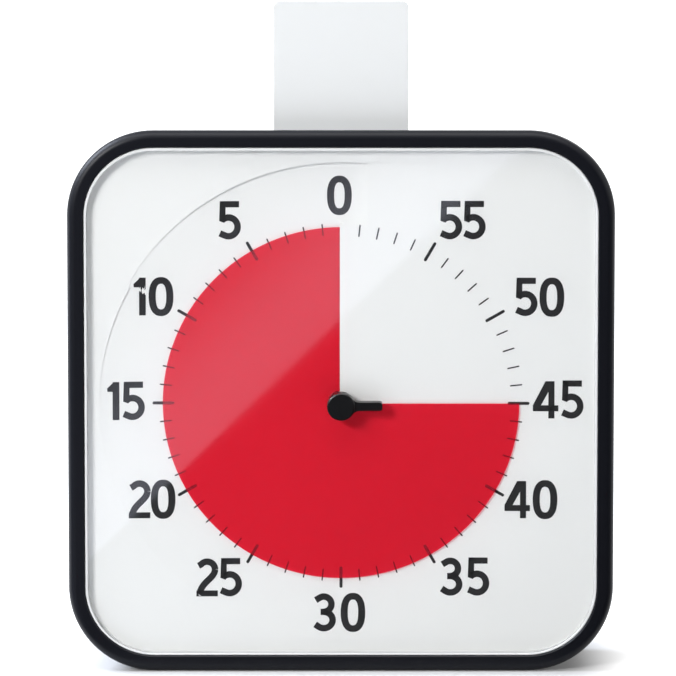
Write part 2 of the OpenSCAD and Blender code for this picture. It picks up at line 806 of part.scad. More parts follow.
// ---------------------------------------------------------------- rear cover and its door

slope = taper / (cover_top - back_z);
beta = atan(slope);
arc_t = cover_step + (cover_top - back_z - back_r) * slope + back_r / cos(beta);

// Region inside the cover's side, drawn in by `inset`; x is the distance from the body's outline
module side_region(inset) {
    r = back_r - inset;
    c = [arc_t, back_z + back_r];
    tangent = c - r * [cos(beta), sin(beta)];
    polygon([[cover_step + inset / cos(beta), cover_top], tangent, c, [arc_t + eps, c[1]],
        [arc_t + eps, cover_top]]);
    intersection() {
        translate(c) circle(r);
        polygon([c + [eps, r / 2], c - 2 * r * [cos(beta), sin(beta)] + [0, r / 2], c - [2 * r, 3 * r],
            c - [-eps, 3 * r]]);
    }
}

cup_wall = 1.9;                       // wall round each magnet
door_t = 1.7;
door_half_x = cradle_x + 1.6;
door_half_y = cradle_half + 1.8;
door_gap = 0.3;
groove_r = 3.4;                       // thumb groove of the door
groove_l = 18;
groove_in = 2.6;
hinge_y = cell_y - door_half_y + door_t / 2;
hinge_z = back_z + 0.1 + door_t / 2;
slot_half = card_t / 2 + 0.35;
card_z = chassis_back - 2.4;
card_gap = 0.6;                       // free space beside the card, on each side
pocket_wall = 1;
boss_r = 5.2;
boss_top = post_back - seam;
head_r = 2.9;
counter_depth = 4;
head_t = 2.2;
screw_short = 1.2;                   // the case screws end this far behind the chassis plate
counter_z = post_back - counter_depth;
head_top = counter_z - seam / 2;
pivot_z = -foot_w / 2 - 7.5;
bay_top = foot_t + 0.4;
bay_wall = 2.2;
foot_boss_r = 4.4;
foot_boss_h = 5;
bay_back = -20;
bay_front = chassis_back - fit_gap;
pin_r = 1.5;                          // the part of a foot pin that is pressed into the cover
pivot_r = 2;                          // the part of a foot pin that carries the foot
pin_head_r = 3.5;
pin_head_t = 1.1;
pin_l = 6;
pivot_play = 0.3;
pin_recess = 0.7;                     // the pin's head lies this far inside the foot's counterbore
bay_end = 1.6;
lip_back = -3;

module keyhole() {
    run = hang_r + 7;
    translate([0, hang_y]) {
        circle(hang_r);
        translate([-hang_slot / 2, 0]) square([hang_slot, run]);
        translate([0, run]) circle(hang_slot / 2);
    }
}

module cover_shell() {
    sweep_round() difference() {
        side_region(0);
        side_region(wall);
    }
    plate(arc_t - 0.5, back_z + wall, back_z);
}

module rear_cover() {
    slab = back_z + wall;
    color("#26272b") stand() difference() {
        union() {
            difference() {
                cover_shell();
                // bay for the folded feet
                span([-bay_x, -1, bay_back - 12], [bay_x, bay_top, lip_back]);
            }
            // lip that stands on the table, bay roof and its two ends
            span([-bay_x, 0, lip_back], [bay_x, plate_in - fit_gap, cover_top]);
            span([-bay_x - bay_end, 0.4, lip_back], [bay_x + bay_end, bay_top + 1, bay_front]);
            span([-bay_x - bay_end, bay_top, bay_back],
                 [bay_x + bay_end, bay_top + bay_wall, bay_front]);
            for (s = [-1, 1])
                span([s * (bay_x + bay_end / 2) - bay_end / 2, 0.4, bay_back],
                     [s * (bay_x + bay_end / 2) + bay_end / 2, bay_top + 1, bay_front]);
            for (s = [-1, 1]) translate([s * foot_x, bay_top + bay_wall - eps, pivot_z])
                rotate([-90, 0, 0]) cylinder(r = foot_boss_r, h = foot_boss_h);
            // battery cradle and the thicker field round the door
            span([-cradle_x - cradle_wall, cell_y - cradle_half - cradle_wall, back_z + 1],
                 [cradle_x + cradle_wall, cell_y + cradle_half + cradle_wall, cell_z + cradle_half + cradle_wall]);
            span([-door_half_x - 2.4, cell_y - door_half_y - 2.2, back_z + 1],
                 [door_half_x + 2.4, cell_y + door_half_y + 2.2, back_z + 4]);
            // screw bosses and magnet cups
            for (p = screw_points) translate(p) rod(boss_r, boss_top, back_z + 1);
            for (x = [-1, 1], y = [-1, 1]) translate([x * magnet_off, mid_y + y * magnet_off])
                rod(magnet_r + cup_wall, back_z + magnet_t + 2, back_z + 1);
            // thicker field round the volume wheel
            span([-volume_x - 8, volume_y - 12, back_z + 1], [-volume_x + 2.3, volume_y + 12, back_z + 4.6]);
        }
        span([-cradle_x, cell_y - cradle_half, back_z - 1],
             [cradle_x, cell_y + cradle_half, cell_z + cradle_half]);
        span([-door_half_x - door_gap, cell_y - door_half_y - door_gap, back_z - 1],
             [door_half_x + door_gap, cell_y + door_half_y + door_gap, back_z + door_t + 0.2]);
        for (p = screw_points) translate(p) {
            rod(head_r + 0.6, counter_z, back_z - 1);
            rod(screw_r + 0.5, boss_top + 1, counter_z - 1);
        }
        for (x = [-1, 1], y = [-1, 1]) translate([x * magnet_off, mid_y + y * magnet_off])
            rod(magnet_r + 0.1, back_z + magnet_t + 0.3, back_z - 1);
        translate([0, 0, back_z - 1]) linear_extrude(wall + 2) keyhole();
        // finger scoop and slot of the volume wheel
        translate([-volume_x - 6, volume_y, back_z - 11]) rotate([0, 90, 0]) cylinder(r = 14, h = 12);
        span([-volume_x - volume_t / 2 - 0.6, volume_y - volume_r + 0.2, back_z - 1],
             [-volume_x + volume_t / 2 + 0.3, volume_y + volume_r - 0.2, back_z + 6]);
        // sound holes over the buzzer
        translate(buzzer_at) for (ring = [0 : 2], i = [0 : max(0, 6 * ring - 1)])
            rotate(ring == 0 ? 0 : 360 * i / (6 * ring)) translate([2.6 * ring, 0])
                rod(0.8, slab + 1, back_z - 1);
        // slot for the card in the top side
        span([-card_w / 2 - card_gap, body_h - 12, card_z - slot_half],
             [card_w / 2 + card_gap, body_h + 1, card_z + slot_half]);
        for (s = [-1, 1]) translate([s * foot_x, bay_top - 1, pivot_z])
            rotate([-90, 0, 0]) cylinder(r = pin_r + 0.02, h = pin_l + 1);
    }
}

module battery_door() {
    color("#26272b") stand() difference() {
        union() {
            span([-door_half_x, hinge_y, hinge_z - door_t / 2],
                 [door_half_x, cell_y + door_half_y, hinge_z + door_t / 2]);
            translate([-door_half_x, hinge_y, hinge_z]) rotate([0, 90, 0])
                cylinder(r = door_t / 2, h = 2 * door_half_x);
        }
        // thumb groove at the free edge
        translate([-groove_l / 2, cell_y + door_half_y - groove_in, back_z + 1 - groove_r])
            rotate([0, 90, 0]) cylinder(r = groove_r, h = groove_l);
    }
}

module case_screws() {
    color("#5c5e62") stand() for (p = screw_points) translate(p) {
        rod(screw_r, chassis_back - screw_short, head_top - eps);
        rod(head_r, head_top, head_top - head_t);
    }
}

module magnets() {
    color("#8a8d92") stand() for (x = [-1, 1], y = [-1, 1])
        translate([x * magnet_off, mid_y + y * magnet_off])
            rod(magnet_r, back_z + 0.2 + magnet_t, back_z + 0.2);
}

// ---------------------------------------------------------------- feet

module foot(side) {
    half = foot_w / 2;
    color("#202124") stand() translate([side * foot_x, 0, pivot_z]) rotate([-90, 0, 0]) difference() {
        linear_extrude(foot_t) {
            circle(half);
            translate([-half, 0]) square([foot_w, foot_reach - half]);
            translate([0, foot_reach - half]) circle(half);
        }
        translate([0, 0, -1]) cylinder(r = pivot_r + run_gap, h = foot_t + 2);
        translate([0, 0, -1]) cylinder(r = pin_head_r + fit_gap, h = 3);
        // grip groove near the tip
        translate([-half - 1, foot_reach - half, foot_t + 0.6]) rotate([0, 90, 0])
            cylinder(r = 1.4, h = foot_w + 2, $fn = 32);
    }
}

module foot_left() { foot(-1); }
module foot_right() { foot(1); }

module foot_pins() {
    color("#b9bcc0") stand() for (s = [-1, 1]) translate([s * foot_x, 0, pivot_z]) rotate([-90, 0, 0]) {
        translate([0, 0, pin_recess]) cylinder(r = pin_head_r, h = pin_head_t);
        translate([0, 0, pin_recess + pin_head_t - eps])
            cylinder(r = pivot_r, h = foot_t + pivot_play - pin_recess - pin_head_t);
        translate([0, 0, foot_t]) cylinder(r = pin_r, h = pin_l);
    }
}

// ---------------------------------------------------------------- card

card_low = body_h - card_depth;

module card_pocket() {
    half = card_w / 2 + card_gap;
    low = card_low - 0.05;
    top = body_h - cover_step - wall - 3;
    color("#3a3b3e") stand() difference() {
        span([-half - pocket_wall, low - pocket_wall, card_z - slot_half - pocket_wall],
             [half + pocket_wall, top, card_z + slot_half + pocket_wall]);
        span([-half, low, card_z - slot_half], [half, top + 1, card_z + slot_half]);
    }
}

module activity_card() {
    color("#f3f4f3") stand() translate([0, card_low, card_z - card_t / 2]) linear_extrude(card_t) {
        translate([-card_w / 2, 0]) square([card_w, card_h - card_r]);
        translate([-card_w / 2 + card_r, card_h - 2 * card_r]) square([card_w - 2 * card_r, 2 * card_r]);
        for (s = [-1, 1]) translate([s * (card_w / 2 - card_r), card_h - card_r]) circle(card_r);
    }
}

rim();
lens_ring();
lens();
front_frame();
dial_plate();
time_disc();
disc_hub();
knob();
spindle();
spindle_bush();
chassis();
movement_front();
movement_rear();
spindle_gear();
intermediate_gear();
rotor();
stator();
coil();
movement_screws();
circuit_board();
buzzer();
volume_pot();
volume_wheel();
battery();
battery_spring();
battery_contact();
battery_door();
rear_cover();
case_screws();
foot_left();
foot_right();
foot_pins();
magnets();
card_pocket();
activity_card();
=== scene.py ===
# %% [markdown]
# # A visual countdown timer
#
# A square desk timer for a classroom: a black plastic case, a white dial with minutes printed round
# it, and a thin red disc that sinks through a slit in the dial as the time runs out. The solid parts
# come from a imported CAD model. This script gives them smooth edges, printing and finishes, and builds
# again the few pieces that need a finer surface than a CAD mesh has: the case screws, the rim, the
# red disc and the knob. The frame is in metres, and its origin is in the middle of the base that
# stands on the table.

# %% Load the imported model
import json
import math

import bmesh
import bpy
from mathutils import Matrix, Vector


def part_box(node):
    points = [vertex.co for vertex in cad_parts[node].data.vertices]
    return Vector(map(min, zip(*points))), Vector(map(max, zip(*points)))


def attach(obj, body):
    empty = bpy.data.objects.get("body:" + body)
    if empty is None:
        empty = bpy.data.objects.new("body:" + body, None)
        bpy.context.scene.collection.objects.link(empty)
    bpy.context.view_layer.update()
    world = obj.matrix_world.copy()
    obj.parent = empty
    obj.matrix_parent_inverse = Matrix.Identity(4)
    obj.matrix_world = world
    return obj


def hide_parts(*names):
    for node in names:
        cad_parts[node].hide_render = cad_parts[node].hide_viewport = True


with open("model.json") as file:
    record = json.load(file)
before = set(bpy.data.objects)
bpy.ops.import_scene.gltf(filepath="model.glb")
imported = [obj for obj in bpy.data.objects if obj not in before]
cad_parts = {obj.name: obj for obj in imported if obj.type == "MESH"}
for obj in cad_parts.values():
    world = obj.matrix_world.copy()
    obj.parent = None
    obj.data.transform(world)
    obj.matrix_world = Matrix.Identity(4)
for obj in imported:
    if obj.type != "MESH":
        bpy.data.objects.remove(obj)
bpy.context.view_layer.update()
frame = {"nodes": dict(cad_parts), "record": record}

nodes = frame["nodes"]
MM = 0.001
DIAL_Z = 94.6  # height of the dial's centre, in mm

# %% [markdown]
# ## A camera far away
#
# A long lens from far away keeps a square case square. We put the camera 3 m away, about 10 degrees
# above the horizon, and choose the lens so that 676 pixels span 235 mm at the dial.

# %% Camera
PIXEL = 0.34698 * MM
TILT = math.radians(10.14)
FAR = 3.0
SIDE = 676
SENSOR = 36
aim = Vector((-3 * PIXEL, -0.010, 0.11848))
camera_data = bpy.data.cameras.new("camera")
camera = bpy.data.objects.new("camera", camera_data)
bpy.context.scene.collection.objects.link(camera)
camera.location = aim + FAR * Vector((0, -math.cos(TILT), math.sin(TILT)))
camera.rotation_euler = (math.radians(90) - TILT, 0, 0)
camera_data.sensor_width = SENSOR
camera_data.lens = SENSOR * FAR / (SIDE * PIXEL)
camera_data.clip_start = 0.1
bpy.context.scene.camera = camera
print("lens", round(camera_data.lens), "mm")

# %% [markdown]
# ## Node trees written as sums
#
# Shader and geometry trees get long when every Math node is made by hand. The class below wraps one
# output socket, so that `2 * height + 1` makes the Math nodes by itself. The class after it adds any
# other kind of node: its settings first, then the values or links of its sockets.

# %% A socket that can be used in a sum
class Wire:
    def __init__(self, sheet, socket):
        self.sheet, self.socket = sheet, socket

    def math(self, operation, *others):
        return self.sheet.add("ShaderNodeMath", {"operation": operation},
                              {i: v for i, v in enumerate((self,) + others)})

    def __add__(self, other): return self.math("ADD", other)
    __radd__ = __add__
    def __mul__(self, other): return self.math("MULTIPLY", other)
    __rmul__ = __mul__
    def __sub__(self, other): return self.math("SUBTRACT", other)
    def __rsub__(self, other): return self * -1 + other
    def __truediv__(self, other): return self.math("DIVIDE", other)
    def __rtruediv__(self, other): return self.math("POWER", -1) * other
    def __gt__(self, other): return self.math("GREATER_THAN", other)
    def clamp(self): return self.math("MINIMUM", 1).math("MAXIMUM", 0)


# %% A sheet on which nodes are laid out
class Sheet:
    def __init__(self, tree):
        self.tree = tree
        tree.nodes.clear()

    def add(self, kind, settings=None, sockets=None, out=0):
        node = self.tree.nodes.new(kind)
        for name, value in (settings or {}).items():
            setattr(node, name, value)
        for name, value in (sockets or {}).items():
            if isinstance(value, Wire):
                self.tree.links.new(value.socket, node.inputs[name])
            elif isinstance(value, (tuple, list)) and len(node.inputs[name].default_value) == 4:
                node.inputs[name].default_value = (*value[:3], 1)
            else:
                node.inputs[name].default_value = value
        return Wire(self, node.outputs[out]) if node.outputs else node

    def vector(self, **parts):
        return self.add("ShaderNodeCombineXYZ", None, parts)

    def blend(self, share, a, b):
        return self.add("ShaderNodeMix", {"data_type": "RGBA"}, {0: share, 6: a, 7: b}, out=2)


# %% [markdown]
# ## The finishes
#
# Moulded plastic is never one flat colour: the tool leaves a fine grain, and its gloss changes a
# little from place to place. `plastic` makes that with two noises on Object coordinates, so the grain
# has the same size on every piece. One is coarse and moves the roughness, the other is as fine as
# the grain of the mould and drives a bump.

# %% Moulded plastic
def new_material(name):
    material = bpy.data.materials.new(name)
    material.use_nodes = True
    return material, Sheet(material.node_tree)


def plastic(name, colour, rough, grain=0.4, depth=0.02, mottle=0.04, drift=0.05, **fixed):
    material, sheet = new_material(name)
    place = sheet.add("ShaderNodeTexCoord", out="Object")
    wide = sheet.add("ShaderNodeTexNoise", None, {"Vector": place, "Scale": 35.0, "Detail": 3.0})
    fine = sheet.add("ShaderNodeTexNoise", None, {
        "Vector": place, "Scale": 1000 / grain, "Detail": 2.0})
    light = tuple(c * (1 + mottle) for c in colour)
    dark = tuple(c * (1 - mottle) for c in colour)
    bump = sheet.add("ShaderNodeBump", None, {"Height": fine, "Distance": depth * MM, "Strength": 1.0})
    finish = {"Base Color": sheet.blend(wide, dark, light),
              "Roughness": rough + (wide - 0.5) * drift, "Normal": bump}
    finish.update(fixed)
    surface = sheet.add("ShaderNodeBsdfPrincipled", None, finish)
    sheet.add("ShaderNodeOutputMaterial", None, {"Surface": surface})
    return material


LOW_GLOSS = {"Specular IOR Level": 0.22}
rim_black = plastic("rim black", (0.0048, 0.0054, 0.0085), 0.38, grain=0.3, depth=0.004, **LOW_GLOSS)
shell_black = plastic("cover black", (0.018, 0.019, 0.022), 0.5, grain=0.45, depth=0.03)
knob_black = plastic("knob black", (0.0035, 0.0035, 0.004), 0.32, grain=0.3, depth=0.003)
dial_white = plastic("dial white", (0.862, 0.868, 0.852), 0.5, grain=0.6, depth=0.002, mottle=0.005)
frame_white = plastic("frame white", (0.75, 0.755, 0.75), 0.3, grain=0.6, depth=0.001, mottle=0.005)
card_white = plastic("card white", (0.735, 0.745, 0.74), 0.3, grain=1.5, depth=0.002, mottle=0.006)
inner_grey = plastic("inner plastic", (0.035, 0.036, 0.04), 0.55, grain=0.5, depth=0.02)
gear_cream = plastic("gear plastic", (0.75, 0.72, 0.64), 0.35, grain=0.5, depth=0.004)
ink = plastic("dial ink", (0.014, 0.014, 0.016), 0.6, grain=0.25, depth=0.003, mottle=0.08)
print("materials so far", len(bpy.data.materials))

# %% [markdown]
# Metal needs a different rule. Turned and drawn parts show fine lines, so the noise that drives their
# roughness is stretched: it changes quickly across the lines and slowly along them.

# %% Drawn metal
def metal(name, colour, rough, lines=(900, 60, 900)):
    material, sheet = new_material(name)
    place = sheet.add("ShaderNodeTexCoord", out="Object")
    drawn = sheet.add("ShaderNodeMapping", None, {"Vector": place, "Scale": lines})
    streak = sheet.add("ShaderNodeTexNoise", None, {"Vector": drawn, "Scale": 1.0, "Detail": 4.0})
    dark = tuple(c * 0.86 for c in colour)
    bump = sheet.add("ShaderNodeBump", None, {
        "Height": streak, "Distance": 0.004 * MM, "Strength": 0.6})
    surface = sheet.add("ShaderNodeBsdfPrincipled", None, {
        "Base Color": sheet.blend(streak, dark, colour), "Metallic": 1.0,
        "Roughness": rough + (streak - 0.5) * 0.2, "Normal": bump})
    sheet.add("ShaderNodeOutputMaterial", None, {"Surface": surface})
    return material


steel = metal("drawn steel", (0.62, 0.63, 0.65), 0.3)
brass = metal("turned brass", (0.72, 0.52, 0.24), 0.28)
magnet_grey = metal("magnet plating", (0.40, 0.40, 0.41), 0.32, lines=(300, 300, 300))
copper = metal("coil wire", (0.62, 0.28, 0.13), 0.35, lines=(4000, 200, 200))

# %% [markdown]
# Three more are made for one piece each. The battery has a plain sleeve in two colours, split by its
# length. The circuit board is green lacquer with a pattern of lighter copper tracks under it. The
# clear lens is a sheet that lets light straight through and mirrors a little of it, by Fresnel's
# rule, so that the dial behind it stays bright and keeps its shadows. A ray that leaves the sheet
# again would be mirrored as if it had never bent on its way in, so back faces take the inverse index.

# %% Battery sleeve, circuit board and clear lens
sleeve, sheet = new_material("battery sleeve")
place = sheet.add("ShaderNodeTexCoord", out="Object")
along = sheet.add("ShaderNodeSeparateXYZ", None, {"Vector": place}, out="X")
scratch = sheet.add("ShaderNodeTexNoise", None, {"Vector": place, "Scale": 400.0, "Detail": 3.0})
sheet.add("ShaderNodeOutputMaterial", None, {"Surface": sheet.add("ShaderNodeBsdfPrincipled", None, {
    "Base Color": sheet.blend(along > 0.010, (0.025, 0.025, 0.028), (0.55, 0.24, 0.07)),
    "Metallic": 0.6, "Roughness": 0.25 + scratch * 0.15})})

board_green, sheet = new_material("board lacquer")
place = sheet.add("ShaderNodeTexCoord", out="Object")
grid = sheet.add("ShaderNodeTexBrick", None, {"Vector": sheet.add("ShaderNodeMapping", None, {
    "Vector": place, "Rotation": (math.radians(90), 0, 0)}), "Scale": 180.0, "Mortar Size": 0.02,
    "Color1": (0.012, 0.09, 0.03), "Color2": (0.015, 0.10, 0.035), "Mortar": (0.03, 0.2, 0.07)})
sheet.add("ShaderNodeOutputMaterial", None, {"Surface": sheet.add("ShaderNodeBsdfPrincipled", None, {
    "Base Color": grid, "Roughness": 0.3})})

clear, sheet = new_material("clear lens")
place = sheet.add("ShaderNodeTexCoord", out="Object")
haze = sheet.add("ShaderNodeTexNoise", None, {"Vector": place, "Scale": 60.0, "Detail": 3.0})
shine = sheet.add("ShaderNodeBsdfPrincipled", None, {
    "Base Color": (0.9, 0.92, 0.93), "Metallic": 1.0, "Roughness": 0.02 + haze * 0.03})
through = sheet.add("ShaderNodeBsdfTransparent", None, {"Color": (1.0, 1.0, 1.0)})
INDEX = 1.49
outer = sheet.add("ShaderNodeFresnel", None, {"IOR": INDEX})
inner_side = sheet.add("ShaderNodeFresnel", None, {"IOR": 1 / INDEX})
behind = sheet.add("ShaderNodeNewGeometry", out="Backfacing")
share = outer + behind * (inner_side - outer)
sheet.add("ShaderNodeOutputMaterial", None, {"Surface": sheet.add(
    "ShaderNodeMixShader", None, {0: share, 1: through, 2: shine})})

# %% [markdown]
# The red disc is a thin translucent sheet. Most light scatters back from its own red, and some passes
# through, so the ticks under it show as dark red. A Mix Shader between a plastic surface and a red
# transparent one does this, and the shadows that pass through it turn red too.

# %% Red sheet
red, sheet = new_material("disc red")
place = sheet.add("ShaderNodeTexCoord", out="Object")
cloud = sheet.add("ShaderNodeTexNoise", None, {"Vector": place, "Scale": 30.0, "Detail": 3.0})
fine = sheet.add("ShaderNodeTexNoise", None, {"Vector": place, "Scale": 2500.0, "Detail": 2.0})
bump = sheet.add("ShaderNodeBump", None, {"Height": fine, "Distance": 0.002 * MM, "Strength": 1.0})
body = sheet.add("ShaderNodeBsdfPrincipled", None, {
    "Base Color": sheet.blend(cloud, (0.90, 0.056, 0.112), (0.93, 0.061, 0.120)),
    "Roughness": 0.5 + (cloud - 0.5) * 0.06, "Normal": bump, "Specular IOR Level": 0.2})
film = sheet.add("ShaderNodeBsdfTransparent", None, {"Color": (0.985, 0.235, 0.355)})
sheet.add("ShaderNodeOutputMaterial", None, {"Surface": sheet.add(
    "ShaderNodeMixShader", None, {0: 0.8, 1: body, 2: film})})

# %% [markdown]
# ## Smooth copies of the CAD pieces
#
# A CAD mesh is loose triangles, so its round sides show facets. A copy can be merged, its flat areas
# joined into single faces and its sharp edges given a small bevel, because a moulded edge is never
# razor sharp and its bright line is what makes plastic look real. The copy then stands for the CAD
# piece.

# %% Copy, merge, bevel and smooth
body_of = {n: b for b, members in frame["record"]["behaviour"]["bodies"].items() for n in members}


def bake(piece):
    """The piece with its modifiers turned into plain mesh."""
    bpy.context.view_layer.update()
    ready = piece.evaluated_get(bpy.context.evaluated_depsgraph_get())
    mesh = bpy.data.meshes.new_from_object(ready)
    piece.modifiers.clear()
    piece.data = mesh
    return piece


def add_piece(name, mesh, body, material=None):
    piece = bpy.data.objects.new(name, mesh)
    bpy.context.scene.collection.objects.link(piece)
    if material:
        mesh.materials.clear()
        mesh.materials.append(material)
    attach(piece, body)
    return piece


def smooth_faces(mesh, angle=35):
    for face in mesh.polygons:
        face.use_smooth = True
    mesh.set_sharp_from_angle(angle=math.radians(angle))


def soften(piece, width, segments=2):
    """Rounds the sharp edges by `width` mm; flat faces keep their own direction in the shading."""
    if width:
        tool = piece.modifiers.new("bevel", "BEVEL")
        tool.width, tool.segments, tool.limit_method = width * MM, segments, "ANGLE"
        tool.angle_limit = math.radians(40)
    tool = piece.modifiers.new("flat faces", "WEIGHTED_NORMAL")
    tool.keep_sharp, tool.weight = True, 80
    return bake(piece)


def dress(node, material, bevel, angle=35, change=None):
    """A smooth copy of a CAD node that stands for it; `change` may edit the shape first."""
    mesh = nodes[node].data.copy()
    shape = bmesh.new()
    shape.from_mesh(mesh)
    bmesh.ops.remove_doubles(shape, verts=shape.verts, dist=0.0004 * MM)
    bmesh.ops.dissolve_limit(shape, angle_limit=math.radians(0.5), verts=shape.verts, edges=shape.edges)
    if change:
        change(shape)
    shape.to_mesh(mesh)
    shape.free()
    piece = add_piece(node + "_skin", mesh, body_of[node], material)
    smooth_faces(mesh, angle)
    soften(piece, bevel)
    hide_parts(node)
    print(node, "faces", len(piece.data.polygons))
    return piece


# %% [markdown]
# The dial has a step round the ramp, and its CAD copy is trimmed for the eye: the step stands a
# little further out, grows shallow as it turns to the left, and the walls of the sunken field beside
# the zero lean back under its edge, because they would catch the light.

# %% Trim the dial's step
STEP_X, STEP_R, STEP_SEEN = -0.4, 84, 85  # centre and radius of the step, and the radius shown
RAMP_FRONT, RAMP_BACK = -6.1, -4.3        # y of the ramp after one quarter turn, and at the slit
FIELD_RIGHT, FIELD_R = 9.1, 63.8          # the sunken field's straight end and lower edge
RAMP_RISE = (RAMP_BACK - RAMP_FRONT) / 90
FADE_TURN, FADE = 60, 0.8                 # turn at which the step has lost that share of its depth
LEAN_X, LEAN_Z = 0.6, 0.7                 # how far the field's walls lean back


def trim_step(shape):
    for vert in shape.verts:
        x, y, z = vert.co.x / MM, vert.co.y / MM, vert.co.z / MM - DIAL_Z
        r, turn = math.hypot(x - STEP_X, z), math.degrees(math.atan2(STEP_X - x, z))
        if abs(r - STEP_R) < 0.35 and z > -1 and x < FIELD_RIGHT + 0.1:
            wider = STEP_SEEN / STEP_R
            vert.co.x, vert.co.z = ((x - STEP_X) * wider + STEP_X) * MM, (DIAL_Z + z * wider) * MM
            if turn > 0 and abs(y - RAMP_BACK + turn * RAMP_RISE) < 0.1:
                kept = 1 - FADE * min(turn, FADE_TURN) / FADE_TURN
                vert.co.y = (RAMP_FRONT + (y - RAMP_FRONT) * kept) * MM
        on_floor = -5 < y < -4
        if abs(x - FIELD_RIGHT) < 0.05 and r > 63 and on_floor:
            vert.co.x += LEAN_X * MM
        if abs(math.hypot(x, z) - FIELD_R) < 0.3 and z > 60 and x > 0.2 and on_floor:
            vert.co.z -= LEAN_Z * MM


# %% Dress the outer pieces
for node, material, width in (
        ("rear_cover", shell_black, 0.15), ("battery_door", shell_black, 0.15),
        ("foot_left", shell_black, 0.2), ("foot_right", shell_black, 0.2),
        ("volume_wheel", shell_black, 0.12), ("activity_card", card_white, 0.1),
        ("card_pocket", inner_grey, 0.0), ("front_frame", frame_white, 0.1),
        ("lens_ring", frame_white, 0.12), ("lens", clear, 0.0)):
    dress(node, material, width)
dial = dress("dial_plate", dial_white, 0.1, angle=30, change=trim_step)

# %% [markdown]
# The pieces inside the case keep their CAD meshes. Nobody sees them while the case is closed, so they
# only need the right finish.

# %% Finishes for the inner pieces
inner = {
    steel: ["spindle", "stator", "movement_screws", "battery_spring", "battery_contact",
            "foot_pins"],
    brass: ["spindle_bush"], copper: ["coil"], magnet_grey: ["magnets"], sleeve: ["battery"],
    board_green: ["circuit_board"], gear_cream: ["spindle_gear", "intermediate_gear", "rotor"],
    inner_grey: ["chassis", "movement_front", "movement_rear", "buzzer", "volume_pot"],
    red: ["disc_hub"]}
for material, names in inner.items():
    for name in names:
        nodes[name].data.materials.clear()
        nodes[name].data.materials.append(material)
print("inner pieces", sum(len(names) for names in inner.values()))

# %% [markdown]
# ## Helpers for node trees
#
# Everything that repeats is made by Geometry Nodes. A tree gets named inputs, so its sizes can be
# changed in one place, and it ends with its copies made real and their material set. The modifier is
# then applied, so that each piece is plain mesh.

# %% Make, finish and grow a tree
def new_tree(name, sizes, others=(), takes_mesh=False):
    """A node group with named inputs; returns it, its sheet and its inputs as wires."""
    tree = bpy.data.node_groups.new(name, "GeometryNodeTree")
    tree.interface.new_socket("Geometry", in_out="OUTPUT", socket_type="NodeSocketGeometry")
    if takes_mesh:
        tree.interface.new_socket("Geometry", in_out="INPUT", socket_type="NodeSocketGeometry")
    for label, value in sizes:
        socket = tree.interface.new_socket(label, in_out="INPUT", socket_type="NodeSocketFloat")
        socket.default_value = value
    for label, kind in others:
        tree.interface.new_socket(label, in_out="INPUT", socket_type="NodeSocket" + kind)
    sheet = Sheet(tree)
    given = tree.nodes.new("NodeGroupInput")
    return tree, sheet, {o.name: Wire(sheet, o) for o in given.outputs if o.name}


def finish_tree(sheet, shape, material):
    """Ends a tree in plain mesh with its material."""
    shape = sheet.add("GeometryNodeRealizeInstances", None, {0: shape})
    shape = sheet.add("GeometryNodeSetMaterial", None, {"Geometry": shape, "Material": material})
    sheet.tree.links.new(shape.socket, sheet.tree.nodes.new("NodeGroupOutput").inputs[0])


def set_inputs(modifier, values):
    for item in modifier.node_group.interface.items_tree:
        if item.item_type == "SOCKET" and item.in_out == "INPUT" and item.name in values:
            modifier[item.identifier] = values[item.name]


def grown(name, tree, values, body, mesh=None):
    """A mesh piece made by a node tree, with the modifier already applied."""
    mesh = mesh or bpy.data.meshes.new(name)
    piece = bpy.data.objects.new(name, mesh)
    bpy.context.scene.collection.objects.link(piece)
    tool = piece.modifiers.new("grow", "NODES")
    tool.node_group = tree
    set_inputs(tool, values)
    bake(piece)
    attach(piece, body)
    print(name, "faces", len(piece.data.polygons))
    return piece


# %% [markdown]
# ## Case screws
#
# Four screws hold the back. A head is a short cone with a cross cut into it, and a Boolean makes that
# in the node tree: the head and its shank are joined, then two crossed bars are taken away. The tree
# puts one on each corner of a square and turns each a little differently, as a screwdriver leaves
# them.

# %% Cross-head screws as a node tree
tree, sheet, read = new_tree("cross-head screws", (
    ("Spacing", 0.146), ("Head radius", 0.0029), ("Head height", 0.0022), ("Shank radius", 0.00125),
    ("Length", 0.01005), ("Cross length", 0.0036), ("Cross width", 0.0009), ("Cross depth", 0.0013),
    ("Back", 0.01125), ("Middle height", 0.0955)), (("Finish", "Material"),))
vector = sheet.vector
OVERLAP = 0.001  # how far the shank stops short below the head's face
head = sheet.add("GeometryNodeMeshCone", None, {
    "Vertices": 40, "Radius Top": read["Head radius"] * 0.86, "Radius Bottom": read["Head radius"],
    "Depth": read["Head height"]})
head = sheet.add("GeometryNodeTransform", None, {
    "Geometry": head, "Translation": vector(Z=read["Head height"] * -1)})
shank = sheet.add("GeometryNodeMeshCylinder", None, {
    "Vertices": 24, "Radius": read["Shank radius"], "Depth": read["Length"] - OVERLAP})
shank = sheet.add("GeometryNodeTransform", None, {
    "Geometry": shank, "Translation": vector(Z=(read["Length"] + OVERLAP) * -0.5)})
whole = sheet.add("GeometryNodeMeshBoolean", {"operation": "UNION", "solver": "EXACT"}, {
    "Mesh 2": head})
sheet.tree.links.new(shank.socket, whole.socket.node.inputs["Mesh 2"])
bars = [sheet.add("GeometryNodeMeshCube", None, {"Size": vector(**{
    a: read["Cross length"], b: read["Cross width"], "Z": read["Cross depth"] * 2})})
    for a, b in ("XY", "YX")]
whole = sheet.add("GeometryNodeMeshBoolean", {"operation": "DIFFERENCE", "solver": "EXACT"}, {
    "Mesh 1": whole, "Mesh 2": bars[0]})
sheet.tree.links.new(bars[1].socket, whole.socket.node.inputs["Mesh 2"])
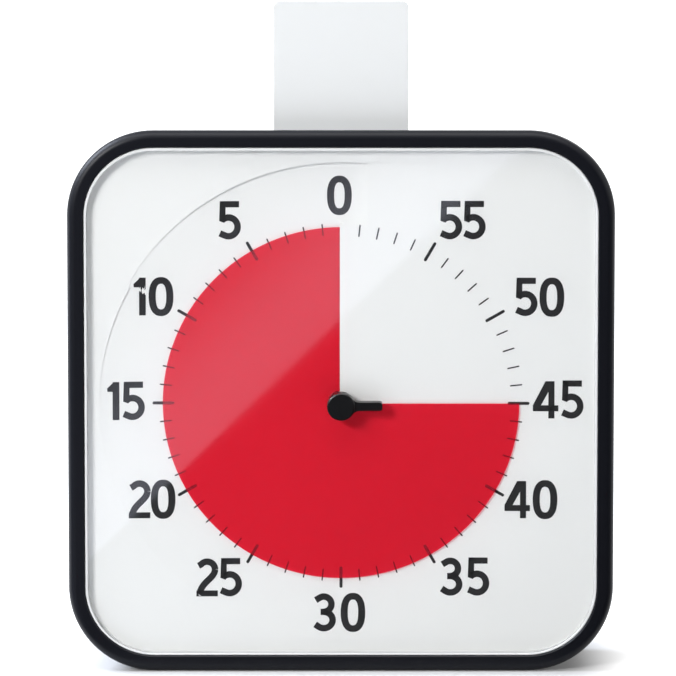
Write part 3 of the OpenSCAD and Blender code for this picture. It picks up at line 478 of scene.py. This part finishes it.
corners = sheet.add("GeometryNodeMeshGrid", None, {
    "Size X": read["Spacing"], "Size Y": read["Spacing"], "Vertices X": 2, "Vertices Y": 2})
twist = sheet.add("FunctionNodeEulerToRotation", None, {
    0: vector(Z=sheet.add("GeometryNodeInputIndex") * 0.47 + 0.2)})
four = sheet.add("GeometryNodeInstanceOnPoints", None, {
    "Points": corners, "Instance": whole, "Rotation": twist})
four = sheet.add("GeometryNodeTransform", None, {
    "Geometry": four, "Rotation": (-math.pi / 2, 0, 0),
    "Translation": vector(Y=read["Back"], Z=read["Middle height"])})
finish_tree(sheet, four, read["Finish"])
screws = grown("case_screws_cross", tree, {"Finish": steel}, "housing")
smooth_faces(screws.data)
soften(screws, 0.08)
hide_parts("case_screws")
low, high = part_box("case_screws")
print("screws", [round(v, 4) for v in low], [round(v, 4) for v in high])

# %% [markdown]
# ## The rim
#
# The black rim is one profile that runs round a square with round corners. The profile is drawn
# once, as distances inwards and forwards, and then carried along the path. Its outer front edge has a
# large radius, its face is flat, and a small bevel meets the lens.

# %% A path with round corners
half_w, half_h, corner = 95.0, 95.5, 30.0


def path_points(inset, steps=24):
    w, h, r = half_w - inset, half_h - inset, corner - inset
    points = []
    for k, (sx, sz) in enumerate(((1, 1), (-1, 1), (-1, -1), (1, -1))):
        for i in range(steps + 1):
            a = math.radians(90 * k + 90 * i / steps)
            points.append((sx * (w - r) + r * math.cos(a),
                           half_h + sz * (h - r) + r * math.sin(a)))
    return points


def sweep(profile):
    """Carries a closed profile of (inset, y) in mm round the body's outline."""
    shape = bmesh.new()
    rings = [[shape.verts.new((x * MM, y * MM, z * MM)) for x, z in path_points(inset)]
             for inset, y in profile]
    count = len(rings[0])
    for j in range(len(rings)):
        a, b = rings[j], rings[(j + 1) % len(rings)]
        for i in range(count):
            k = (i + 1) % count
            shape.faces.new((a[i], a[k], b[k], b[i]))
    bmesh.ops.recalc_face_normals(shape, faces=shape.faces)
    mesh = bpy.data.meshes.new("sweep")
    shape.to_mesh(mesh)
    shape.free()
    return mesh


# %% Rim profile
FRONT, RIM_W, EDGE, BACK, DRAFT = -10.0, 5.8, 2.8, -4.0, math.radians(11)
arc = [(EDGE * (1 - math.cos(math.radians(t))), FRONT + EDGE * (1 - math.sin(math.radians(t))))
       for t in range(0, 91, 6)]
heel = (BACK - FRONT - EDGE) * math.tan(DRAFT)
profile = arc + [(RIM_W - 0.45, FRONT), (RIM_W - 0.1, FRONT + 0.3), (RIM_W, FRONT + 0.45),
                 (RIM_W, FRONT + 1.4), (2.25, FRONT + 1.4), (2.2, BACK), (heel + 0.15, BACK),
                 (heel, BACK - 0.15)]
rim_mesh = sweep(profile)
rim = add_piece("rim_smooth", rim_mesh, "housing", rim_black)
smooth_faces(rim_mesh, 40)
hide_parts("rim")
print("rim faces", len(rim_mesh.polygons))

# %% [markdown]
# ## The red disc
#
# The disc is a screw surface: at every angle it lies a little further forward than at the angle
# before, by 1.8 mm in a full turn, so it can slide under the dial at the slit. A rule like that is
# what Geometry Nodes are for. A flat grid gives two numbers at each point, which become radius and
# angle, and the rule for the depth gives the third.

# %% Screw sheet as a node tree
tree, sheet, read = new_tree("screw sheet", (
    ("Inner radius", 0.0032), ("Outer radius", 0.0620), ("First angle", -94.0), ("Last angle", 270.0),
    ("Pitch", 0.0018), ("Front", -0.0061), ("Centre height", 0.0946), ("Thickness", 0.0003),
    ("Lift", 0.0007)), (("Finish", "Material"),))
grid = sheet.add("GeometryNodeMeshGrid", None, {
    "Size X": 1.0, "Size Y": 1.0, "Vertices X": 12, "Vertices Y": 365})
spot = sheet.add("GeometryNodeInputPosition")
u = sheet.add("ShaderNodeSeparateXYZ", None, {0: spot}, out="X") + 0.5
v = sheet.add("ShaderNodeSeparateXYZ", None, {0: spot}, out="Y") + 0.5
radius = read["Inner radius"] + u * (read["Outer radius"] - read["Inner radius"])
angle = read["First angle"] + v * (read["Last angle"] - read["First angle"])
turn = angle * (math.pi / 180)
depth = read["Pitch"] * (1 - angle / 360)
place = sheet.vector(X=radius * turn.math("SINE") * -1, Y=read["Front"] + depth - read["Lift"],
                     Z=read["Centre height"] + radius * turn.math("COSINE"))
front = sheet.add("GeometryNodeSetPosition", None, {"Geometry": grid, "Position": place})
back = sheet.add("GeometryNodeSetPosition", None, {
    "Geometry": front, "Offset": sheet.vector(Y=read["Thickness"])})
side = sheet.add("GeometryNodeExtrudeMesh", {"mode": "FACES"}, {
    "Mesh": back, "Individual": False, "Offset Scale": 1.0,
    "Offset": sheet.vector(Y=read["Thickness"] * -1)})
whole = sheet.add("GeometryNodeJoinGeometry", None, {0: side})
flipped = sheet.add("GeometryNodeFlipFaces", None, {0: back})
tree.links.new(flipped.socket, whole.socket.node.inputs[0])
whole = sheet.add("GeometryNodeMergeByDistance", None, {"Geometry": whole, "Distance": 0.000001})
finish_tree(sheet, whole, read["Finish"])

# %% Grow the disc
disc = grown("time_disc_sheet", tree, {"Finish": red}, "disc")
check = bmesh.new()
check.from_mesh(disc.data)
bmesh.ops.recalc_face_normals(check, faces=check.faces)
print("disc volume mm3", round(check.calc_volume() * 1e9),
      "open edges", sum(edge.is_boundary for edge in check.edges))
check.to_mesh(disc.data)
check.free()
smooth_faces(disc.data, 40)
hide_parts("time_disc")

# %% [markdown]
# ## Ticks round the dial
#
# Sixty places round the dial, a long thick tick at every fifth and a short thin one between, and none
# at zero. One tree turns a small stadium shape round the centre sixty times, realizes the copies and
# then drops every point straight back onto the dial with a Raycast, so the print follows the ramp.
# The same last step lays the numerals down.

# %% A tree that lays print on the dial
PRINT_Y = -0.03  # where print is drawn, well in front of the dial


def lay_on(sheet, flat, surface, lift):
    """Points of `flat` moved along +Y until they meet the surface, less a small lift."""
    target = sheet.add("GeometryNodeObjectInfo", {"transform_space": "RELATIVE"},
                       {0: surface}, out="Geometry")
    ray = sheet.add("GeometryNodeRaycast", None, {
        "Target Geometry": target, "Ray Direction": sheet.vector(Y=1.0), "Ray Length": 0.05},
        out="Hit Position")
    return sheet.add("GeometryNodeSetPosition", None, {
        "Geometry": flat, "Position": ray, "Offset": sheet.vector(Y=lift * -1)})


def stadium(sheet, length, width):
    """A flat bar with round ends: a disc whose upper and lower halves are moved apart."""
    ring = sheet.add("GeometryNodeMeshCircle", {"fill_type": "NGON"}, {
        "Vertices": 20, "Radius": width * 0.5})
    spot = sheet.add("GeometryNodeInputPosition")
    height = sheet.add("ShaderNodeSeparateXYZ", None, {0: spot}, out="Y")
    shift = height.math("SIGN") * (length - width) * 0.5
    long = sheet.add("GeometryNodeSetPosition", None, {
        "Geometry": ring, "Offset": sheet.vector(Y=shift)})
    return sheet.add("GeometryNodeSubdivideMesh", None, {
        "Mesh": sheet.add("GeometryNodeTriangulate", None, {0: long}), "Level": 2})


# %% Ticks as a node tree
tree, sheet, read = new_tree("dial ticks", (
    ("Thin inner", 0.0591), ("Thin outer", 0.0634), ("Thin width", 0.00052),
    ("Thick inner", 0.0580), ("Thick outer", 0.0656), ("Thick width", 0.0011),
    ("Centre height", 0.0946), ("Lift", 0.00004)), (("Surface", "Object"), ("Ink", "Material")))
number = sheet.add("GeometryNodeInputIndex")
fifth = sheet.add("FunctionNodeCompare", {"data_type": "FLOAT", "operation": "LESS_THAN"}, {
    0: number.math("MODULO", 5.0), 1: 0.5})
sets = []
for size, chosen in (("Thin", 1 - fifth), ("Thick", fifth * (number > 0.5))):
    spots = sheet.add("GeometryNodePoints", None, {"Count": 60})
    middle = (read[size + " inner"] + read[size + " outer"]) * 0.5
    turn = number * (math.pi / 30)
    spots = sheet.add("GeometryNodeSetPosition", None, {"Geometry": spots, "Position": sheet.vector(
        X=middle * turn.math("SINE") * -1, Y=PRINT_Y,
        Z=read["Centre height"] + middle * turn.math("COSINE"))})
    mark = stadium(sheet, read[size + " outer"] - read[size + " inner"], read[size + " width"])
    stand = sheet.add("FunctionNodeEulerToRotation", None, {
        0: sheet.vector(X=math.pi / 2, Y=turn * -1)})
    sets.append(sheet.add("GeometryNodeInstanceOnPoints", None, {
        "Points": spots, "Selection": chosen, "Instance": mark, "Rotation": stand}))
joined = sheet.add("GeometryNodeJoinGeometry", None, {0: sets[0]})
tree.links.new(sets[1].socket, joined.socket.node.inputs[0])
flat = sheet.add("GeometryNodeRealizeInstances", None, {0: joined})
finish_tree(sheet, lay_on(sheet, flat, read["Surface"], read["Lift"]), read["Ink"])
grown("dial_ticks", tree, {"Surface": dial, "Ink": ink}, "housing")

# %% [markdown]
# ## Numerals
#
# The figures are strokes of one width. Each digit is a list of simple parts, measured in a grid 38
# units high: bars are four-sided, and bowls are strips along an ellipse. The parts are laid flat in
# front of the dial and the same Raycast step presses them on.

# %% Digits from bars and bowls
def strip(points, width):
    """Four-sided pieces along a line of points, `width` across."""
    left, right = [], []
    for i, (x, y) in enumerate(points):
        x0, y0 = points[max(i - 1, 0)]
        x1, y1 = points[min(i + 1, len(points) - 1)]
        dx, dy = x1 - x0, y1 - y0
        size = math.hypot(dx, dy)
        left.append((x - dy / size * width / 2, y + dx / size * width / 2))
        right.append((x + dy / size * width / 2, y - dx / size * width / 2))
    return [[left[i], right[i], right[i + 1], left[i + 1]] for i in range(len(points) - 1)]


def bowl(cx, cy, rx, ry, first, last, steps=20):
    """Points along an ellipse; angles in degrees."""
    angles = [math.radians(first + (last - first) * i / steps) for i in range(steps + 1)]
    return [(cx + rx * math.cos(a), cy + ry * math.sin(a)) for a in angles]


def swoop(a, b, c, d, steps=14):
    """A cubic Bezier curve."""
    points = []
    for i in range(steps + 1):
        t = i / steps
        w = ((1 - t) ** 3, 3 * t * (1 - t) ** 2, 3 * t * t * (1 - t), t ** 3)
        points.append(tuple(sum(k * p[j] for k, p in zip(w, (a, b, c, d))) for j in (0, 1)))
    return points


def oval(a, b, power, count=48):
    """An ellipse whose sides are a little straighter, for a power above 2."""
    points = []
    for i in range(count):
        t = 2 * math.pi * i / count
        x, y = math.cos(t), math.sin(t)
        points.append((a * math.copysign(abs(x) ** (2 / power), x),
                       b * math.copysign(abs(y) ** (2 / power), y)))
    return points


def zero():
    outer, inner = oval(12.35, 19.6, 2.35), oval(5.25, 12.9, 2.5)
    ring = [[outer[i], outer[(i + 1) % 48], inner[(i + 1) % 48], inner[i]] for i in range(48)]
    return [[(x + 12.35, y + 19.4) for x, y in face] for face in ring]


STROKE = 6.55
DIGITS = {
    "0": (24.7, zero()),
    "1": (12.4, [[(5.7, 0.2), (12.4, 0.2), (12.4, 38.2), (5.7, 38.2)],
                 [(6.9, 0.2), (5.7, 9.9), (0.5, 9.9), (0.2, 6.5)]]),
    "2": (21.8, strip([(2.2, 7.6), (4.2, 6.5)] + bowl(10.8, 11.3, 7.9, 7.8, -138, 0), STROKE)
          + strip(swoop((18.7, 11.3), (18.7, 20.2), (4.2, 24.0), (3.4, 36)), STROKE)
          + [[(0, 32.3), (21.5, 32.3), (21.5, 38.2), (0, 38.2)]]),
    "3": (23.2, strip([(3.0, 7.1)] + bowl(11.1, 11.1, 7.7, 7.6, -125, 88), STROKE)
          + strip(bowl(11.1, 27.0, 8.9, 8.2, -88, 124) + [(2.4, 31.3)], STROKE)
          + [[(7.9, 15.7), (12, 15.7), (12, 22.0), (7.9, 22.0)]]),
    "4": (25.5, [[(15.5, 0.9), (21.6, 0.9), (21.6, 38.2), (15.5, 38.2)],
                 [(0, 25.0), (25.5, 25.0), (25.5, 31.0), (0, 31.0)],
                 [(12.5, 0.9), (15.6, 0.9), (15.6, 11.4), (8.1, 25.1)],
                 [(12.5, 0.9), (8.1, 25.1), (0, 25.1), (0, 25.0)]]),
    "5": (23.0, [[(2.0, 0), (21.2, 0), (21.2, 6.2), (2.0, 6.2)],
                 [(2.0, 0), (7.8, 0), (7.6, 15.2), (6.5, 21.8), (1.3, 19.8)]]
          + strip(bowl(10.6, 25.7, 9.1, 9.4, -132, 113) + [(1.9, 32.1)], STROKE)),
}
print("digits", len(DIGITS))

# %% Where each figure stands
UNIT = 0.3477             # mm for one step of the digit grid
HEIGHT_UNIT = UNIT / 0.9844  # the same upwards, where the tilted view shortens it
GRID_MIDDLE = 19.1
PLACES = {  # left edge of the first digit, right edge of the last and middle height, in mm
    "0": (-4.86, 3.72, 73.20), "5": (-42.70, -34.77, 64.45), "10": (-72.11, -58.21, 37.73),
    "15": (-81.43, -68.25, 0.84), "20": (-73.99, -57.72, -33.97), "25": (-50.49, -34.56, -61.76),
    "30": (-9.87, 8.48, -74.21), "35": (34.32, 51.81, -61.45), "40": (57.02, 75.42, -33.97),
    "45": (66.76, 84.39, 1.44), "50": (60.26, 77.50, 37.68), "55": (34.01, 50.17, 64.71)}

# %% Draw the figures and press them on
mesh = bpy.data.meshes.new("numerals")
shape = bmesh.new()
for text, (left, right, middle) in PLACES.items():
    for k, digit in enumerate(text):
        width, parts = DIGITS[digit]
        x0 = left if k == 0 else right - width * UNIT
        for face in parts:
            shape.faces.new([shape.verts.new((
                (x0 + x * UNIT) * MM, PRINT_Y,
                (DIAL_Z + middle + (GRID_MIDDLE - y) * HEIGHT_UNIT) * MM)) for x, y in face])
bmesh.ops.recalc_face_normals(shape, faces=shape.faces)
shape.to_mesh(mesh)
shape.free()

tree, sheet, read = new_tree("pressed print", (("Lift", 0.00004),), (
    ("Surface", "Object"), ("Ink", "Material")), takes_mesh=True)
fine = sheet.add("GeometryNodeSubdivideMesh", None, {
    "Mesh": sheet.add("GeometryNodeTriangulate", None, {0: read["Geometry"]}), "Level": 2})
finish_tree(sheet, lay_on(sheet, fine, read["Surface"], read["Lift"]), read["Ink"])
grown("dial_numerals", tree, {"Surface": dial, "Ink": ink}, "housing", mesh)

# %% [markdown]
# ## The knob
#
# A round hub with a flat pointer lever that flows into it, on a short shank. Each outline is drawn
# from the front, with round fillets where lever meets hub, and extruded; a bevel rounds every edge.

# %% Knob
HUB, SHANK = 4.85, 3.5                        # radii
LEVER, HALF, FILLET, TIP = 14.4, 1.5, 3.2, 0.9  # reach, half width, and radii of fillet and tip


def turn_points(cx, cy, r, first, last, steps):
    return [(cx + r * math.cos(first + (last - first) * i / steps),
             cy + r * math.sin(first + (last - first) * i / steps)) for i in range(steps + 1)]


def lever_outline():
    """The lever and its fillets; the straight side at the end lies inside the hub."""
    fy = HALF + FILLET
    fx = math.sqrt((HUB + FILLET) ** 2 - fy * fy)
    upper = turn_points(LEVER - TIP, HALF - TIP, TIP, 0, math.pi / 2, 9)
    upper += turn_points(fx, fy, FILLET, 1.5 * math.pi, math.pi + math.atan2(fy, fx), 12)
    return upper + [(x, -y) for x, y in reversed(upper)]


def slab(points, back, front):
    shape = bmesh.new()
    low = [shape.verts.new((x * MM, back * MM, (DIAL_Z + z) * MM)) for x, z in points]
    face = shape.faces.new(low)
    top = bmesh.ops.extrude_face_region(shape, geom=[face])
    bmesh.ops.translate(shape, vec=(0, (front - back) * MM, 0),
                        verts=[v for v in top["geom"] if isinstance(v, bmesh.types.BMVert)])
    bmesh.ops.recalc_face_normals(shape, faces=shape.faces)
    mesh = bpy.data.meshes.new("slab")
    shape.to_mesh(mesh)
    shape.free()
    return mesh


hub = turn_points(0, 0, HUB, 0, 2 * math.pi, 120)[:-1]
shank = turn_points(0, 0, SHANK, 0, 2 * math.pi, 60)[:-1]
for name, outline, back, front, width in (
        ("knob_hub", hub, -8.8, -13.1, 0.5), ("knob_lever", lever_outline(), -8.85, -12.3, 0.55),
        ("knob_shank", shank, -7.2, -9.0, 0.1)):
    piece = add_piece(name, slab(outline, back, front), "knob", knob_black)
    smooth_faces(piece.data, 40)
    soften(piece, width, 3)
    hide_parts("knob")
    print(name, "faces", len(piece.data.polygons))

# %% [markdown]
# ## Light, floor and backdrop
#
# Soft light from the upper left in front and a wide box overhead do most of the work. Weak ones stand
# at the right and behind, and one high on the left, just behind the dial, draws a highlight on the
# rim's corner alone. The floor and the world show white to the camera and in reflections, but light
# the object only as a pale room would.
#
# The floor is a pale sheet that also glows. The glow fades out near the clock, so that its shadow
# can be seen there.

# %% Floor
def wall_piece(name, corners, material):
    mesh = bpy.data.meshes.new(name)
    mesh.from_pydata(corners, [], [tuple(range(len(corners)))])
    mesh.materials.append(material)
    piece = bpy.data.objects.new(name, mesh)
    bpy.context.scene.collection.objects.link(piece)
    return piece


def shown_rays(sheet):
    """1 for what the camera, a mirror or a clear piece sees, 0 for light that falls on the object."""
    ways = sheet.add("ShaderNodeLightPath")
    seen = [Wire(sheet, ways.socket.node.outputs[n]) for n in
            ("Is Camera Ray", "Is Glossy Ray", "Is Transmission Ray")]
    return (seen[0] + seen[1] + seen[2]).clamp()


# Half width, middle and half depth of the area in the shadow, and how far it fades beyond
BASE_HALF, BASE_Y, BASE_DEEP, SHADOW_REACH = 0.077, 0.010, 0.021, 0.034
floor_paper, sheet = new_material("floor paper")
spot = sheet.add("ShaderNodeTexCoord", out="Object")
beside, behind = (sheet.add("ShaderNodeSeparateXYZ", None, {"Vector": spot}, out=n) for n in "XY")
gap_x = (beside.math("ABSOLUTE") - BASE_HALF).math("MAXIMUM", 0)
gap_y = ((behind - BASE_Y).math("ABSOLUTE") - BASE_DEEP).math("MAXIMUM", 0)
gap = (gap_x * gap_x + gap_y * gap_y).math("SQRT")
far = sheet.add("ShaderNodeMapRange", {"interpolation_type": "SMOOTHSTEP"}, {
    0: gap, 1: 0.0, 2: SHADOW_REACH, 3: 0.08, 4: 1.0})
paper = sheet.add("ShaderNodeBsdfDiffuse", None, {"Color": (0.52, 0.52, 0.52)})
glow = sheet.add("ShaderNodeEmission", None, {"Color": (1, 1, 1), "Strength": shown_rays(sheet) * far})
both = sheet.add("ShaderNodeAddShader", None, {0: paper, 1: glow})
sheet.add("ShaderNodeOutputMaterial", None, {"Surface": both})
wall_piece("floor", [(-6, -6, 0), (6, -6, 0), (6, 12, 0), (-6, 12, 0)], floor_paper)

# %% World
world = bpy.data.worlds.new("studio")
bpy.context.scene.world = world
world.use_nodes = True
sheet = Sheet(world.node_tree)
sheet.add("ShaderNodeOutputWorld", None, {"Surface": sheet.add("ShaderNodeBackground", None, {
    "Color": (1, 1, 1), "Strength": 0.10 + shown_rays(sheet) * 0.90})})

# %% Lamps
def softbox(name, place, target, size, power, tint=(1, 1, 1)):
    light = bpy.data.lights.new(name, "AREA")
    light.shape, light.size, light.size_y = "RECTANGLE", size[0], size[1]
    light.energy, light.color = power, tint
    lamp = bpy.data.objects.new(name, light)
    bpy.context.scene.collection.objects.link(lamp)
    lamp.location = place
    lamp.rotation_euler = (Vector(target) - Vector(place)).to_track_quat("-Z", "Y").to_euler()


middle = (0, 0, 0.1)
softbox("key", (-0.92, -1.28, 0.81), middle, (0.44, 0.44), 20.2)
softbox("overhead", (0, -0.55, 1.7), middle, (1.6, 1.0), 16)
softbox("side", (1.9, -0.7, 0.5), middle, (0.8, 1.0), 2)
softbox("corner", (-1.2, 0.12, 1.15), middle, (0.9, 0.9), 50, (0.8, 0.87, 1.0))
softbox("back", (0.9, 1.7, 1.0), middle, (1.0, 1.0), 8)
print("lamps", len(bpy.data.lights))

# %% [markdown]
# Dark cards in front keep the pale floor and the pale room out of the lens, as black flags do in a
# studio. They are seen by reflections only. The card on the floor has a slanting edge,
# and beyond it glows like the room, which draws the gleam across the lens. To place that edge, each
# point of the card is followed back through the mirror of the lens to the spot where the camera
# would see it.

# %% Flags
LENS_Y = -0.0085
EDGE_SLOPE, EDGE_HEIGHT = 0.969, 0.1238  # the gleam's lower edge on the lens, as a straight line
mirror = Vector((camera.location.x, 2 * LENS_Y - camera.location.y, camera.location.z))
flag_card, sheet = new_material("flag")
spot = sheet.add("ShaderNodeTexCoord", out="Object")
x = sheet.add("ShaderNodeSeparateXYZ", None, {0: spot}, out="X")
y = sheet.add("ShaderNodeSeparateXYZ", None, {0: spot}, out="Y")
away = (mirror.y - y) / (mirror.y - LENS_Y)
lens_x = (x - mirror.x) / away + mirror.x
lens_z = mirror.z - mirror.z / away
above = lens_z - lens_x * EDGE_SLOPE - EDGE_HEIGHT
near = sheet.add("ShaderNodeMapRange", {"interpolation_type": "SMOOTHSTEP"}, {
    0: above, 1: -0.0004, 2: 0.0012, 3: 0.0, 4: 1.0})
fade = sheet.add("ShaderNodeMapRange", {"interpolation_type": "SMOOTHSTEP"}, {
    0: above, 1: 0.018, 2: 0.085, 3: 1.0, 4: 0.0})
sheet.add("ShaderNodeOutputMaterial", None, {"Surface": sheet.add("ShaderNodeEmission", None, {
    "Color": (0.82, 0.83, 1.0), "Strength": near * fade * 1.1})})
dark_card, sheet = new_material("dark card")
sheet.add("ShaderNodeOutputMaterial", None, {"Surface": sheet.add("ShaderNodeEmission", None, {
    "Color": (0, 0, 0), "Strength": 0.0})})
for name, corners, material in (
        ("flag_low", [(-4, -0.02, 0.0005), (4, -0.02, 0.0005), (4, -3.5, 0.0005), (-4, -3.5, 0.0005)],
         flag_card),
        ("flag_high", [(-4, -3.5, 0), (4, -3.5, 0), (4, -3.5, 2.4), (-4, -3.5, 2.4)], dark_card)):
    flag = wall_piece(name, corners, material)
    flag.visible_camera = flag.visible_diffuse = False
    flag.visible_shadow = flag.visible_transmission = False
print("gleam starts", round(EDGE_HEIGHT / MM, 1), "mm up in the middle of the lens")

# %% Settle the view and finish
bpy.context.scene.view_settings.view_transform = "Standard"
